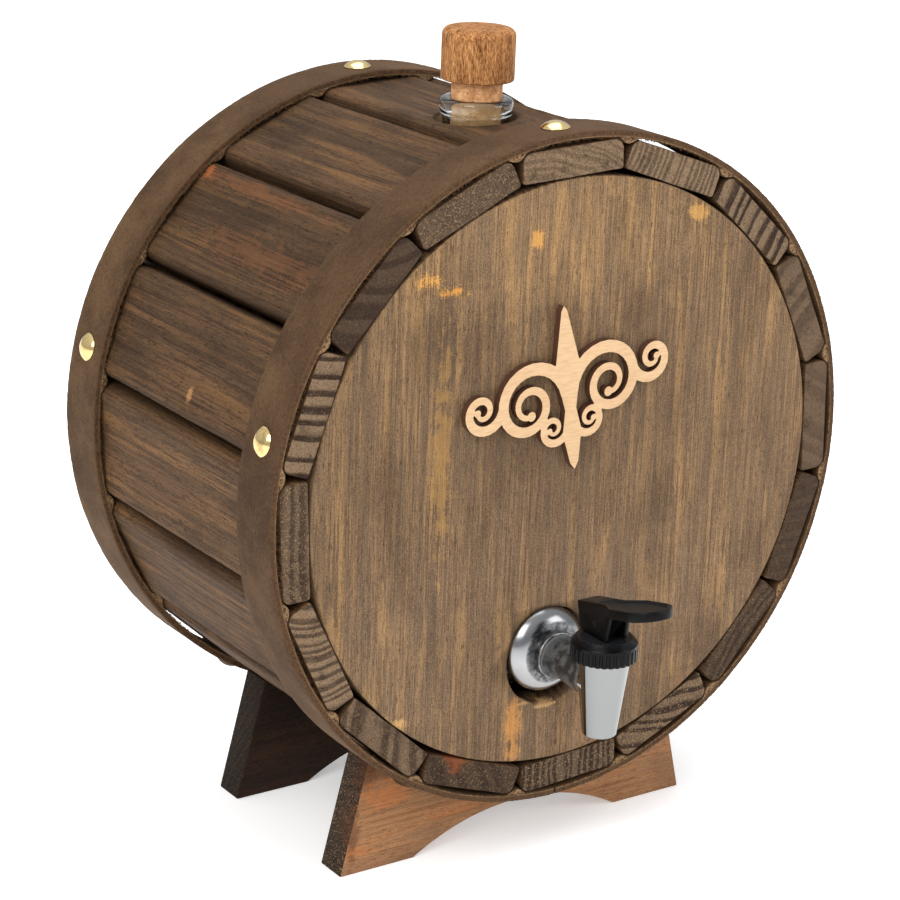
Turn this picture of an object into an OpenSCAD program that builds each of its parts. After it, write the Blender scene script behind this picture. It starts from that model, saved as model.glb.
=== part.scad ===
// Table-top cask dispenser for spirits: a ring of flat wooden staves held by
// two tacked leather straps, with a glass bottle standing inside. The bottle's
// neck comes out of the top stave and takes a wooden bar-top stopper, and a
// chromed tap with a press-down lever goes through the front head into it.
//
// Frame: millimetres, +Z up, front (tap side) towards -Y, z = 0 on the table
// top, x = 0 on the barrel's middle, y = 0 halfway between lever tip and back.

/* [Barrel] */
// Length of the barrel, front edge to back edge
barrel_len = 159; // [140:1:190]
// Height of the barrel's axis above the table
axis_h = 157.8; // [152:0.2:175]
// Distance from the axis to the inner face of a stave
stave_in = 115.4; // [108:0.2:120]
// Thickness of a stave
stave_t = 12; // [9:0.5:15]
// Gap between two neighbouring staves at their inner edges
stave_gap = 0.2; // [0.1:0.1:0.8]
// Rounding of a stave's outer long edges
stave_round = 4; // [1.5:0.5:5]
// Rounding of a stave's inner long edges
stave_round_in = 1.4; // [0.4:0.2:2.6]
// Turn of the stave ring, towards +X at the top when positive
ring_turn = -3; // [-4:0.5:-1]
// Running clearance between the staves and what they touch
stave_clear = 0.15; // [0.05:0.05:0.4]

/* [Heads] */
// Thickness of the front and rear heads
head_t = 15; // [10:0.5:18]
// Chamfer round the outer edge of a head
head_chamfer = 0.8; // [0.4:0.1:2]
// Diameter of the hole for the tap in the front head
tap_hole_d = 40; // [37.6:0.2:46]
// How far the hole's centre lies below the tap's axis
tap_hole_drop = 3.6; // [3:0.1:4.4]

/* [Straps] */
// Width of a strap
hoop_w = 24; // [18:1:28]
// Thickness of a strap
hoop_t = 3; // [2:0.25:4.5]
// Width of the butt seam where a strap's ends meet
hoop_seam = 0.6; // [0.3:0.1:2]

/* [Tacks] */
// Number of tacks in each strap
tack_n = 5; // [3:1:5]
// Angle from one tack to the next, over the left side from the top
tack_step = 74; // [66:0.5:76]
// Diameter of a tack's domed head
tack_head_d = 11; // [8:0.5:13]
// Height of a tack's domed head
tack_head_h = 2.4; // [1.5:0.1:3.5]
// Diameter of a tack's shank
tack_shank_d = 1.6; // [1.2:0.1:2.4]
// Length of a tack's shank below its head
tack_shank_len = 12; // [8:0.5:13]

/* [Stands] */
// Thickness of a stand board
stand_t = 14.5; // [11:0.5:18]
// Gap along the barrel between the front strap and the front stand
stand_gap = 0.2; // [0.1:0.1:2]
// Distance from the barrel's front edge to the rear stand's front face
stand_rear_y = 103.8; // [95:0.2:112]
// Half the width of a stand at the table
stand_half_w = 83.4; // [76:0.2:92]
// Half the width of a stand at its horn tips
stand_top_half_w = 71; // [62:0.5:76]
// Half the width of the arch between the feet
arch_half_w = 49.5; // [40:0.5:58]
// Height of the arch, as a share of the height under the barrel
arch_share = 0.47; // [0.3:0.01:0.54]
// Diameter of the screws that hold the stands
screw_d = 3.5; // [2.5:0.1:4.5]
// Length of those screws
screw_len = 30; // [24:1:34]

/* [Bottle] */
// Sideways place of the bottle and of the tap
bottle_x = -8.7; // [-10.5:0.1:-6]
// Outer diameter of the bottle
bottle_d = 88; // [80:1:94]
// Wall of the bottle
bottle_wall = 3.2; // [2.4:0.1:4.5]
// Thickness of the bottle's base
bottle_base_t = 5; // [3:0.5:8]
// Gap between the front head and the bottle
bottle_gap = 1; // [0.4:0.1:3]
// Radius of the shoulder's curve
shoulder_r = 28; // [22:1:30]
// Height of the start of the shoulder above the barrel's axis
shoulder_z = 60; // [48:1:66]
// Outer diameter of the neck
neck_d = 25.6; // [24.6:0.2:27]
// Outer diameter of the lip
lip_d = 28; // [27.4:0.2:29.4]
// Height of the lip ring
lip_h = 6.4; // [4:0.2:7]
// How far the lip stands above the top stave
lip_out = 7.1; // [6:0.1:12]
// Clearance round the neck in the top stave
neck_clear = 2; // [1:0.1:2.4]
// Height of the wooden rest under the bottle, at its middle
rest_h = 20; // [14:0.5:24]
// Width of the rest
rest_w = 42; // [30:1:44]
// Length of the rest
rest_len = 84; // [60:1:86]

/* [Stopper] */
// Diameter of the stopper's wooden head
cap_d = 28; // [25:0.5:31]
// Height of the stopper's head
cap_h = 19.8; // [14:0.2:24]
// Rounding of the head's top edge
cap_round = 3; // [1:0.25:4]
// Diameter of the cork shank
cork_d = 19.5; // [17.5:0.1:20.5]
// Length of the cork shank
cork_len = 30; // [24:1:36]
// How far the head stays above the lip
cork_show = 6.7; // [4:0.1:10]
// Radial clearance of the shank in the neck
cork_clear = 0.05; // [0.02:0.01:0.1]

/* [Tap body] */
// How far the tap's inlet lies below the barrel's axis
tap_drop = 68.2; // [64:0.2:72]
// Distance from the front head to the spout's axis
spout_reach = 36.4; // [35:0.2:40]
// Diameter of the spout under the ring nut
spout_top_d = 20.6; // [20:0.1:21.2]
// Diameter of the spout at its mouth
spout_end_d = 13.1; // [12.6:0.1:15]
// Distance from the inlet's axis up to the ring nut's lower edge
nut_above = 9.7; // [9.2:0.1:10.6]
// Distance from the inlet's axis down to the mouth
spout_below = 21.2; // [18:0.1:28]
// Bore of the spout's mouth
mouth_bore_d = 9.8; // [8:0.1:10.4]
// Bore of the valve chamber
chamber_d = 12; // [11.6:0.1:12.8]
// Bore through the valve seat
seat_d = 7; // [6:0.1:7.6]
// Distance from the inlet's axis down to the valve seat
seat_below = 6.8; // [6:0.1:8]
// Diameter of the threaded shank through the head and the bottle
shank_d = 15; // [14:0.1:16]
// Length of the shank behind the front of the head
shank_len = 26; // [24:0.5:30]
// Bore of the shank and of the arm
inlet_d = 8.4; // [7:0.1:9]
// Diameter of the arm where it leaves the flange
arm_d = 14; // [12.6:0.2:15]
// Diameter of the arm where it meets the spout
arm_end_d = 17.4; // [15.4:0.2:17.8]

/* [Tap flange] */
// Diameter of the chromed flange
flange_d = 34; // [32.5:0.1:35.5]
// Height of the flange's dome
flange_h = 5.6; // [4:0.1:6.5]
// Diameter of the boss in the flange's middle
boss_d = 19; // [18.4:0.1:21]
// Distance from the head to the boss's face
boss_h = 9.2; // [7.6:0.1:10.5]
// Diameter of the rubber spacer behind the flange
spacer_d = 30; // [26:0.2:31]
// Radial clearance of the shank in the flange and the spacer
shank_clear = 0.1; // [0.05:0.05:0.25]

/* [Tap ring nut] */
// Diameter of the ring nut over its ribs
nut_d = 25.2; // [24.8:0.1:27]
// Height of the ring nut
nut_h = 8.6; // [8:0.1:9.6]
// Thickness of the nut's top wall
nut_top_t = 2.6; // [2:0.1:3]
// Number of flutes round the nut
flute_n = 30; // [20:1:36]
// Radius of one flute
flute_r = 0.7; // [0.5:0.05:0.9]

/* [Tap valve] */
// Diameter of the valve stem
stem_d = 5; // [4.4:0.1:5.4]
// Radial clearance of the stem in the nut
stem_clear = 0.08; // [0.03:0.01:0.1]
// Height of the lever's pin above the ring nut
pin_h = 5.4; // [5.2:0.1:6.2]
// Diameter of the lever's pin
pin_d = 2.4; // [2:0.1:2.8]
// Diameter of the knuckle on top of the stem
knuckle_d = 6; // [5.2:0.1:6.2]
// Diameter of the silicone valve plug
plug_d = 10.4; // [9.6:0.1:10.8]
// Height of the plug's collar
plug_h = 5; // [4:0.1:6]
// Gap between plug and seat as drawn
plug_gap = 0.15; // [0.1:0.05:0.3]

/* [Tap lever] */
// How far the lever's tip stands out from the front head
lever_reach = 69.5; // [66:0.5:75]
// Upward tilt of the lever at rest
lever_tilt = 13; // [12:0.5:16]
// Width of the lever's block
lever_w = 10; // [9.4:0.1:11]
// Thickness of the block's side cheeks
cheek_t = 1.7; // [1.4:0.1:1.9]
// Length of the block's top behind the pin
block_back = 11.5; // [11:0.1:12.5]
// Length of the block's foot ahead of the pin
block_front = 7.3; // [6.5:0.1:7.8]
// How far the block's ends lean outwards from foot to top
block_lean = 1.9; // [1:0.1:2.4]
// Gap between the block and the ring nut at rest
cam_gap = 0.3; // [0.25:0.05:0.5]
// Width of the lever's rounded thumb plate
thumb_w = 19; // [15:0.2:22]
// Thickness of the thumb plate
thumb_t = 3.8; // [3.4:0.1:4.2]
// Height from the pin to the top of the plate's rear edge
plate_h = 5.6; // [5.4:0.1:6.6]
// Depth of the dish in the plate's top
dish_deep = 0.9; // [0.5:0.1:1.4]
// Width of the rim round the dish
dish_rim = 1.7; // [1.2:0.1:2.6]

/* [Ornament] */
// Thickness of the cut wooden ornament on the front head
orn_t = 3; // [2:0.5:5]
// Width of the ornament
orn_w = 97; // [60:1:110]
// Height of the ornament's middle above the barrel's axis
orn_z = 35; // [25:0.5:45]
// Sideways place of the ornament's middle
orn_x = -5.5; // [-12:0.5:6]
// Tilt of the ornament, its right end up when positive
orn_tilt = 8; // [0:0.5:14]

/* [Hidden] */
$fn = 96;
stave_n = 16;
stave_pitch = 360 / stave_n;
stave_w = 2 * stave_in * tan(stave_pitch / 2) - stave_gap;
stave_out = stave_in + stave_t;
// Farthest reach of a stave's rounded outer edge from the axis.
stave_reach = stave_round + norm([stave_w / 2 - stave_round, stave_out - stave_round]);
hoop_in = stave_reach + stave_clear;
hoop_out = hoop_in + hoop_t;
head_r = stave_in - stave_clear;
front_y = -(barrel_len - lever_reach) / 2;
// The top stave's number is 1, and the bottom stave's is 9.
bottom_turn = ring_turn + 180;
tack_front_y = hoop_w / 2;
tack_rear_y = barrel_len - hoop_w / 2;
// Stands
cradle_r = stave_reach + stave_clear;
stand_front_y = hoop_w + stand_gap;
arch_h = arch_share * (axis_h - cradle_r);
arch_r = (arch_half_w * arch_half_w + arch_h * arch_h) / (2 * arch_h);
screw_angles = [bottom_turn - stave_pitch, bottom_turn + stave_pitch];
screw_head_d = screw_d * 2;
// Bottle, with heights from the barrel's axis
bottle_r = bottle_d / 2;
bottle_y = head_t + bottle_gap + bottle_r;
bottle_base_z = -stave_in + rest_h;
lip_top = stave_out + lip_out;
neck_bore = cork_d / 2 + cork_clear;
neck_hole_r = lip_d / 2 + neck_clear;
// Stopper
cork_top = lip_top + cork_show;
cork_bottom = cork_top - cork_len;
// Tap, with heights from the barrel's axis
tap_z = -tap_drop;
nut_low = tap_z + nut_above;
nut_top = nut_low + nut_h;
mouth_z = tap_z - spout_below;
seat_z = tap_z - seat_below;
seat_t = 2;
pin_z = nut_top + pin_h;
gland_t = 3.4;
collar_top = nut_top - nut_top_t - 0.2;
gland_low = collar_top - gland_t;
collar_d = spout_top_d - 0.8;
thread_clear = 0.06;
shank_collar_d = shank_d + 2.6;
spacer_lip = 3;
sleeve_d = shank_d + 5;
stem_low = seat_z + 2.4;
knuckle_w = lever_w - 2 * cheek_t - 0.3;
pin_clear = 0.05;
// The lever's plate runs up and forward from its rear edge, and the lower edge
// of its tip stands out the farthest.
plate_len = (lever_reach - spout_reach + block_back - thumb_t * sin(lever_tilt))
  / cos(lever_tilt);

// Places a child modelled on the barrel's axis and front edge.
module in_barrel() {
  translate([0, front_y, axis_h])
    children();
}

// Turns a child from the top of the barrel to an angle towards +X.
module at_turn(a) {
  rotate([0, a, 0])
    children();
}

// Places a child on the tap's inlet axis, +Z of the child towards the front.
module on_inlet() {
  translate([bottle_x, 0, tap_z])
    rotate([90, 0, 0])
      children();
}

// Places a child on the vertical axis of the spout.
module on_spout() {
  translate([bottle_x, -spout_reach, 0])
    children();
}

// Outline of a stave's end, standing on its inner face.
module stave_outline() {
  ro = stave_round;
  ri = stave_round_in;
  translate([-stave_w / 2 + ri, 0])
    square([stave_w - 2 * ri, ri]);
  translate([-stave_w / 2, ri])
    square([stave_w, stave_t - ro - ri]);
  translate([-stave_w / 2 + ro, ri])
    square([stave_w - 2 * ro, stave_t - ri]);
  for (s = [-1, 1]) {
    translate([s * (stave_w / 2 - ri), ri])
      circle(r = ri);
    translate([s * (stave_w / 2 - ro), stave_t - ro])
      circle(r = ro);
  }
}

// Every tack's axis, with z pointing out of the barrel.
module at_tacks(y) {
  for (i = [0:tack_n - 1])
    at_turn(ring_turn - i * tack_step)
      translate([0, y, 0])
        children();
}

// Every stand screw's axis, with z pointing out of the barrel.
module at_screws() {
  for (y = [stand_front_y + stand_t / 2, stand_rear_y + stand_t / 2])
    for (a = screw_angles)
      at_turn(a)
        translate([0, y, 0])
          children();
}

// A stand screw with a countersunk head, its head at the stave's inner face.
module screw_form(slack = 0) {
  translate([0, 0, stave_in + 0.3])
    rotate_extrude()
      polygon([[0, 0], [screw_head_d / 2 + slack, 0],
        [screw_head_d / 2 + slack, 0.5], [screw_d / 2 + slack, screw_d / 2 + 1],
        [screw_d / 2 + slack, screw_len - 4 + slack], [0, screw_len + slack]]);
}

// One stave, drilled for the tacks, the stand screws and, on top, the neck.
module stave(i) {
  color([0.36, 0.27, 0.2])
    in_barrel()
      difference() {
        at_turn(ring_turn + (i - 1) * stave_pitch)
          translate([0, barrel_len, stave_in])
            rotate([90, 0, 0])
              linear_extrude(barrel_len)
                stave_outline();
        for (y = [tack_front_y, tack_rear_y])
          at_tacks(y)
            translate([0, 0, hoop_out - tack_shank_len - 0.5])
              cylinder(d = tack_shank_d, h = tack_shank_len + 1);
        if (i == 8 || i == 10)
          at_screws()
            union() {
              screw_form();
              translate([0, 0, stave_in - 1])
                cylinder(d = screw_head_d, h = 1.4);
              translate([0, 0, stave_in + 2])
                cylinder(d = screw_d, h = screw_len);
            }
        if (i == 1)
          translate([bottle_x, bottle_y, stave_in - 4])
            cylinder(r = neck_hole_r, h = stave_t + 8);
      }
}

// Round head board with a fine chamfer on both faces.
module head_board() {
  rotate([-90, 0, 0])
    rotate_extrude($fn = 180)
      polygon([[0, 0], [head_r - head_chamfer, 0], [head_r, head_chamfer],
        [head_r, head_t - head_chamfer], [head_r - head_chamfer, head_t], [0, head_t]]);
}

module front_head() {
  color([0.55, 0.43, 0.31])
    in_barrel()
      difference() {
        head_board();
        translate([bottle_x, -1, tap_z - tap_hole_drop])
          rotate([-90, 0, 0])
            cylinder(d = tap_hole_d, h = head_t + 2);
      }
}

module rear_head() {
  color([0.52, 0.4, 0.29])
    in_barrel()
      translate([0, barrel_len - head_t, 0])
        head_board();
}

// Leather strap bent into a ring, butted at the bottom and pierced by tacks.
module strap(y, tack_y) {
  difference() {
    translate([0, y, 0])
      rotate([-90, 0, 0])
        rotate_extrude($fn = 180)
          translate([hoop_in, 0])
            square([hoop_t, hoop_w]);
    translate([-hoop_seam / 2, y - 1, -hoop_out - 1])
      cube([hoop_seam, hoop_w + 2, hoop_t + 2]);
    at_tacks(tack_y)
      translate([0, 0, hoop_in - 1])
        cylinder(d = tack_shank_d, h = hoop_t + 2);
  }
}

module front_hoop() {
  color([0.4, 0.31, 0.25])
    in_barrel()
      strap(0, tack_front_y);
}

module rear_hoop() {
  color([0.4, 0.31, 0.25])
    in_barrel()
      strap(barrel_len - hoop_w, tack_rear_y);
}

// A brass tack: domed head on the strap, plain shank into the stave.
module tack() {
  dome_r = (tack_head_d * tack_head_d / 4 + tack_head_h * tack_head_h)
    / (2 * tack_head_h);
  translate([0, 0, hoop_out])
    rotate_extrude()
      intersection() {
        translate([0, tack_head_h - dome_r])
          circle(r = dome_r);
        square([tack_head_d / 2, tack_head_h + 1]);
      }
  translate([0, 0, hoop_out - tack_shank_len])
    cylinder(d1 = 0.4, d2 = tack_shank_d, h = 2.5);
  translate([0, 0, hoop_out - tack_shank_len + 2.5])
    cylinder(d = tack_shank_d, h = tack_shank_len - 2);
}

module front_hoop_tacks() {
  color([0.83, 0.66, 0.3])
    in_barrel()
      at_tacks(tack_front_y)
        tack();
}

module rear_hoop_tacks() {
  color([0.83, 0.66, 0.3])
    in_barrel()
      at_tacks(tack_rear_y)
        tack();
}

// Stand board: leaning sides, hollowed for the barrel, arched between the feet.
module stand_board(y) {
  in_barrel()
    difference() {
      translate([0, y + stand_t, 0])
        rotate([90, 0, 0])
          linear_extrude(stand_t)
            difference() {
              polygon([[-stand_half_w, -axis_h], [stand_half_w, -axis_h],
                [stand_top_half_w, -sqrt(pow(cradle_r, 2) - pow(stand_top_half_w, 2))],
                [0, -cradle_r + 20],
                [-stand_top_half_w, -sqrt(pow(cradle_r, 2) - pow(stand_top_half_w, 2))]]);
              circle(r = cradle_r, $fn = 180);
              translate([0, -axis_h + arch_h - arch_r])
                circle(r = arch_r, $fn = 180);
            }
      at_screws()
        translate([0, 0, stave_in + 2])
          union() {
            cylinder(d = screw_d, h = screw_len - 5.7);
            translate([0, 0, screw_len - 5.7])
              cylinder(d1 = screw_d, d2 = 0, h = 4);
          }
    }
}

module front_stand() {
  color([0.63, 0.41, 0.25])
    stand_board(stand_front_y);
}

module rear_stand() {
  color([0.32, 0.23, 0.17])
    stand_board(stand_rear_y);
}

module stand_screws() {
  color([0.75, 0.72, 0.6])
    in_barrel()
      at_screws()
        screw_form();
}

// Outer outline of the bottle, from its axis.
module bottle_outside() {
  zs = shoulder_z;
  rs = shoulder_r;
  rn = neck_d / 2;
  foot = 5;
  square([bottle_r - foot, zs - bottle_base_z]);
  translate([0, foot])
    square([bottle_r, zs - bottle_base_z - foot]);
  translate([bottle_r - foot, foot])
    circle(r = foot);
  translate([0, zs - bottle_base_z]) {
    square([bottle_r - rs, rs]);
    intersection() {
      translate([bottle_r - rs, 0])
        circle(r = rs);
      square([bottle_r, rs]);
    }
    square([rn, lip_top - zs - 1]);
    translate([0, lip_top - zs - lip_h + 1.2])
      square([lip_d / 2, lip_h - 2.4]);
    translate([0, lip_top - zs - lip_h])
      square([lip_d / 2 - 1.2, lip_h]);
    for (z = [-1.2, -lip_h + 1.2])
      translate([lip_d / 2 - 1.2, lip_top - zs + z])
        circle(r = 1.2);
    difference() {
      translate([0, rs - 1])
        square([rn + 6, 7]);
      translate([rn + 6, rs + 6])
        circle(r = 6);
    }
  }
}

// Hollow of the bottle, from its axis, open at the lip.
module bottle_inside() {
  zs = shoulder_z - bottle_base_z;
  rs = shoulder_r - bottle_wall;
  ri = bottle_r - bottle_wall;
  foot = 4;
  translate([0, bottle_base_t])
    square([ri - foot, zs - bottle_base_t]);
  translate([0, bottle_base_t + foot])
    square([ri, zs - bottle_base_t - foot]);
  translate([ri - foot, bottle_base_t + foot])
    circle(r = foot);
  translate([0, zs]) {
    square([ri - rs, rs]);
    intersection() {
      translate([ri - rs, 0])
        circle(r = rs);
      square([ri, rs]);
    }
  }
  translate([0, bottle_base_t + 1])
    square([neck_bore, lip_top - bottle_base_z]);
}

// Clear glass bottle, drilled in front for the tap's rubber spacer.
module glass_bottle() {
  color([0.8, 0.86, 0.84])
    in_barrel()
      difference() {
        translate([bottle_x, bottle_y, bottle_base_z])
          rotate_extrude()
            difference() {
              bottle_outside();
              bottle_inside();
            }
        on_inlet()
          translate([0, 0, -bottle_y])
            cylinder(d = sleeve_d + 0.1, h = bottle_y);
      }
}

// Bearer that the bottle stands on, flat on the bottom stave's inner face.
module bottle_rest() {
  color([0.72, 0.58, 0.4])
    in_barrel()
      intersection() {
        at_turn(bottom_turn)
          translate([-rest_w / 2, bottle_y - rest_len / 2, stave_in - rest_h - 10])
            cube([rest_w, rest_len, rest_h + 10]);
        translate([-stave_in, 0, bottle_base_z - stave_in])
          cube([2 * stave_in, barrel_len, stave_in]);
      }
}

// Turned wooden head of the stopper with a rounded top edge.
module stopper_head() {
  r = cap_d / 2;
  color([0.74, 0.53, 0.33])
    in_barrel()
      translate([bottle_x, bottle_y, cork_top])
        rotate_extrude() {
          square([r - cap_round, cap_h]);
          translate([0, 0.8])
            square([r, cap_h - cap_round - 0.8]);
          square([r - 0.8, cap_h - cap_round]);
          translate([r - 0.8, 0.8])
            circle(r = 0.8);
          translate([r - cap_round, cap_h - cap_round])
            circle(r = cap_round);
        }
}

// Cork shank glued under the stopper's head, chamfered at its lower end.
module stopper_cork() {
  r = cork_d / 2;
  color([0.78, 0.58, 0.46])
    in_barrel()
      translate([bottle_x, bottle_y, cork_bottom])
        rotate_extrude()
          polygon([[0, 0], [r - 1.4, 0], [r, 1.6], [r, cork_len], [0, cork_len]]);
}

// Rubber spacer: saddle end against the bottle, sleeve through its wall.
module tap_spacer() {
  color([0.2, 0.2, 0.2])
    in_barrel()
      difference() {
        union() {
          difference() {
            on_inlet()
              translate([0, 0, -head_t - bottle_gap - spacer_lip])
                cylinder(d = spacer_d, h = head_t + bottle_gap + spacer_lip);
            translate([bottle_x, bottle_y, tap_z - 40])
              cylinder(r = bottle_r + 0.05, h = 80, $fn = 180);
          }
          on_inlet()
            translate([0, 0, -shank_len + 2])
              cylinder(d = sleeve_d, h = shank_len - 4);
        }
        on_inlet()
          translate([0, 0, -shank_len - 2])
            cylinder(d = shank_d + 2 * shank_clear, h = shank_len + 4);
      }
}

// Chromed flange: a domed skirt round a plain boss.
module tap_flange() {
  r = flange_d / 2;
  rb = boss_d / 2;
  edge = 0.8;
  rise = flange_h - edge;
  dome_r = (pow(r - rb, 2) + rise * rise) / (2 * rise);
  color([0.85, 0.86, 0.88])
    in_barrel()
      on_inlet()
        rotate_extrude()
          difference() {
            union() {
              square([r, edge]);
              square([rb - 0.8, boss_h]);
              square([rb, boss_h - 0.8]);
              translate([rb - 0.8, boss_h - 0.8])
                circle(r = 0.8);
              intersection() {
                translate([rb, flange_h - dome_r])
                  circle(r = dome_r);
                square([r, flange_h]);
              }
            }
            square([shank_d / 2 + shank_clear, boss_h]);
          }
}

// Outer form of the spout, from its axis, with a rounded mouth.
module spout_outside() {
  re = spout_end_d / 2;
  rt = spout_top_d / 2;
  polygon([[0, mouth_z], [re - 0.7, mouth_z], [re, mouth_z + 0.7],
    [rt, nut_low - 0.1], [collar_d / 2, nut_low - 0.1],
    [collar_d / 2, collar_top], [0, collar_top]]);
  translate([re - 0.7, mouth_z + 0.7])
    circle(r = 0.7);
}

// Hollow of the spout: mouth, valve seat, chamber and the gland's pocket.
module spout_inside() {
  translate([0, mouth_z - 1])
    square([mouth_bore_d / 2, seat_z - seat_t - mouth_z + 1]);
  translate([0, seat_z - seat_t - 1])
    square([seat_d / 2, seat_t + 2]);
  translate([0, seat_z])
    square([chamber_d / 2, gland_low - seat_z]);
  translate([0, gland_low])
    square([chamber_d / 2 + 1.2, collar_top - gland_low + 1]);
}

// Chromed body: threaded shank, collar, widening arm and tapered spout.
module tap_body() {
  color([0.82, 0.83, 0.85])
    in_barrel()
      difference() {
        union() {
          on_spout()
            rotate_extrude()
              spout_outside();
          on_inlet()
            translate([0, 0, -shank_len])
              cylinder(d = shank_d, h = shank_len + boss_h);
          on_inlet()
            translate([0, 0, boss_h])
              cylinder(d = shank_collar_d, h = 1.6);
          on_inlet()
            translate([0, 0, boss_h + 1.5])
              cylinder(d1 = arm_d, d2 = arm_end_d, h = spout_reach - boss_h - 4);
        }
        on_spout()
          rotate_extrude()
            spout_inside();
        on_inlet()
          translate([0, 0, -shank_len - 1])
            cylinder(d = inlet_d, h = shank_len + 1 + spout_reach);
      }
}

// Black ring nut with a fluted skirt, a bevelled top and the stem's guide hole.
module tap_ring_nut() {
  r = nut_d / 2;
  bevel = 2.2;
  color([0.1, 0.1, 0.11])
    in_barrel()
      on_spout()
        difference() {
          translate([0, 0, nut_low])
            union() {
              linear_extrude(nut_h - bevel - 1.2)
                difference() {
                  circle(r = r);
                  for (i = [0:flute_n - 1])
                    rotate(i * 360 / flute_n)
                      translate([r + 0.15, 0])
                        circle(r = flute_r, $fn = 24);
                }
              translate([0, 0, nut_h - bevel - 1.2])
                cylinder(r = r, h = 1.2);
              translate([0, 0, nut_h - bevel])
                cylinder(r1 = r, r2 = r - bevel, h = bevel);
            }
          translate([0, 0, nut_low - 1])
            cylinder(d = collar_d + 2 * thread_clear, h = nut_h - nut_top_t + 1);
          translate([0, 0, nut_low])
            cylinder(d = stem_d + 2 * stem_clear, h = nut_h + 1);
        }
}

// Silicone gland ring that seals the stem under the ring nut.
module tap_gland() {
  color([0.85, 0.85, 0.82])
    in_barrel()
      on_spout()
        translate([0, 0, gland_low])
          difference() {
            cylinder(r = chamber_d / 2 + 1.1, h = gland_t);
            translate([0, 0, -1])
              cylinder(d = stem_d + 2 * stem_clear, h = gland_t + 2);
          }
}

// Valve stem with a cross-drilled knuckle on top for the lever's pin.
module tap_stem() {
  color([0.14, 0.14, 0.15])
    in_barrel()
      on_spout()
        difference() {
          union() {
            translate([0, 0, stem_low])
              cylinder(d = stem_d, h = pin_z - stem_low);
            translate([-knuckle_w / 2, 0, pin_z])
              rotate([0, 90, 0])
                cylinder(d = knuckle_d, h = knuckle_w);
          }
          translate([-lever_w, 0, pin_z])
            rotate([0, 90, 0])
              cylinder(d = pin_d + 2 * pin_clear, h = 2 * lever_w);
        }
}

// Silicone plug on the stem's foot, with a nose that enters the seat.
module tap_plug() {
  low = seat_z + plug_gap;
  r = plug_d / 2;
  color([0.88, 0.88, 0.86])
    in_barrel()
      on_spout()
        difference() {
          rotate_extrude()
            polygon([[0, low - 1.6], [seat_d / 2 - 1.4, low - 1.6],
              [seat_d / 2 - 0.3, low], [r, low], [r, low + plug_h - 1],
              [r - 1, low + plug_h], [0, low + plug_h]]);
          translate([0, 0, stem_low])
            cylinder(d = stem_d, h = plug_h + 4);
        }
}

// Plan of the thumb plate: a narrow root that flares into a round end.
module thumb_outline(inset = 0) {
  hw = lever_w / 2 - inset;
  tw = thumb_w / 2 - inset;
  tip = plate_len - thumb_w / 2;
  translate([-hw, -plate_len * 0.42])
    square([2 * hw, plate_len * 0.42 - inset]);
  polygon([[-hw, -plate_len * 0.38], [hw, -plate_len * 0.38],
    [tw, -plate_len * 0.56], [tw, -tip], [-tw, -tip], [-tw, -plate_len * 0.56]]);
  translate([0, -tip])
    circle(r = tw);
}

// Lever: dished thumb plate over a hollow block whose cheeks ride on the nut.
module tap_lever() {
  low = -pin_h + cam_gap;
  color([0.09, 0.09, 0.1])
    in_barrel()
      on_spout()
        translate([0, 0, pin_z])
          difference() {
            union() {
              translate([0, block_back, plate_h])
                rotate([-lever_tilt, 0, 0])
                  translate([0, 0, -thumb_t])
                    linear_extrude(thumb_t)
                      thumb_outline();
              lever_block(low);
            }
            translate([0, block_back, plate_h])
              rotate([-lever_tilt, 0, 0])
                translate([0, 0, -dish_deep])
                  linear_extrude(dish_deep + 1)
                    difference() {
                      thumb_outline(dish_rim);
                      translate([-lever_w, -block_back])
                        square([2 * lever_w, block_back + 1]);
                    }
            translate([-lever_w, 0, 0])
              rotate([0, 90, 0])
                cylinder(d = pin_d, h = 2 * lever_w);
          }
}

// Hollow block under the lever's root: two cheeks and a rear wall.
module lever_block(low) {
  rise = tan(lever_tilt);
  top_back = plate_h - thumb_t * 0.5;
  back = block_back - thumb_t * sin(lever_tilt) - 0.05;
  foot_back = block_back - block_lean;
  front = block_front + block_lean;
  back_t = 2;
  difference() {
    translate([-lever_w / 2, 0, 0])
      rotate([90, 0, 90])
        linear_extrude(lever_w)
          polygon([[foot_back, low + 1.5], [back, top_back],
            [-front, top_back + (back + front) * rise], [-block_front, low + 0.5],
            [-block_front + 0.5, low], [foot_back - 1.5, low]]);
    translate([-lever_w / 2 + cheek_t, 0, 0])
      rotate([90, 0, 90])
        linear_extrude(lever_w - 2 * cheek_t)
          polygon([[foot_back - back_t, low - 1],
            [back - back_t, plate_h - thumb_t - 0.1],
            [-front - 1, plate_h - thumb_t - 0.1 + (back + front) * rise],
            [-front - 1, low - 1]]);
  }
}

// Steel pin through the lever's cheeks and the stem's knuckle.
module tap_lever_pin() {
  color([0.7, 0.7, 0.72])
    in_barrel()
      on_spout()
        translate([-lever_w / 2, 0, pin_z])
          rotate([0, 90, 0])
            cylinder(d = pin_d, h = lever_w);
}

// Edge point of a scroll at t = 0 to 1, side = 1 outside and -1 inside.
function scroll_edge(t, r0, r1, turn, w0, w1, side) =
  let (a = 180 - turn * t, r = r0 * pow(r1 / r0, t), w = w0 + (w1 - w0) * t)
  (r + side * w / 2) * [cos(a), sin(a)];

// A stroke that starts at the left, curls inwards clockwise and thins.
module scroll(r0, r1, turn, w0, w1, n) {
  polygon(concat(
    [for (i = [0:n]) scroll_edge(i / n, r0, r1, turn, w0, w1, 1)],
    [for (i = [n:-1:0]) scroll_edge(i / n, r0, r1, turn, w0, w1, -1)]));
  translate(scroll_edge(1, r0, r1, turn, w0, w1, 0))
    circle(r = w1 * 0.95, $fn = 24);
}

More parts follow.
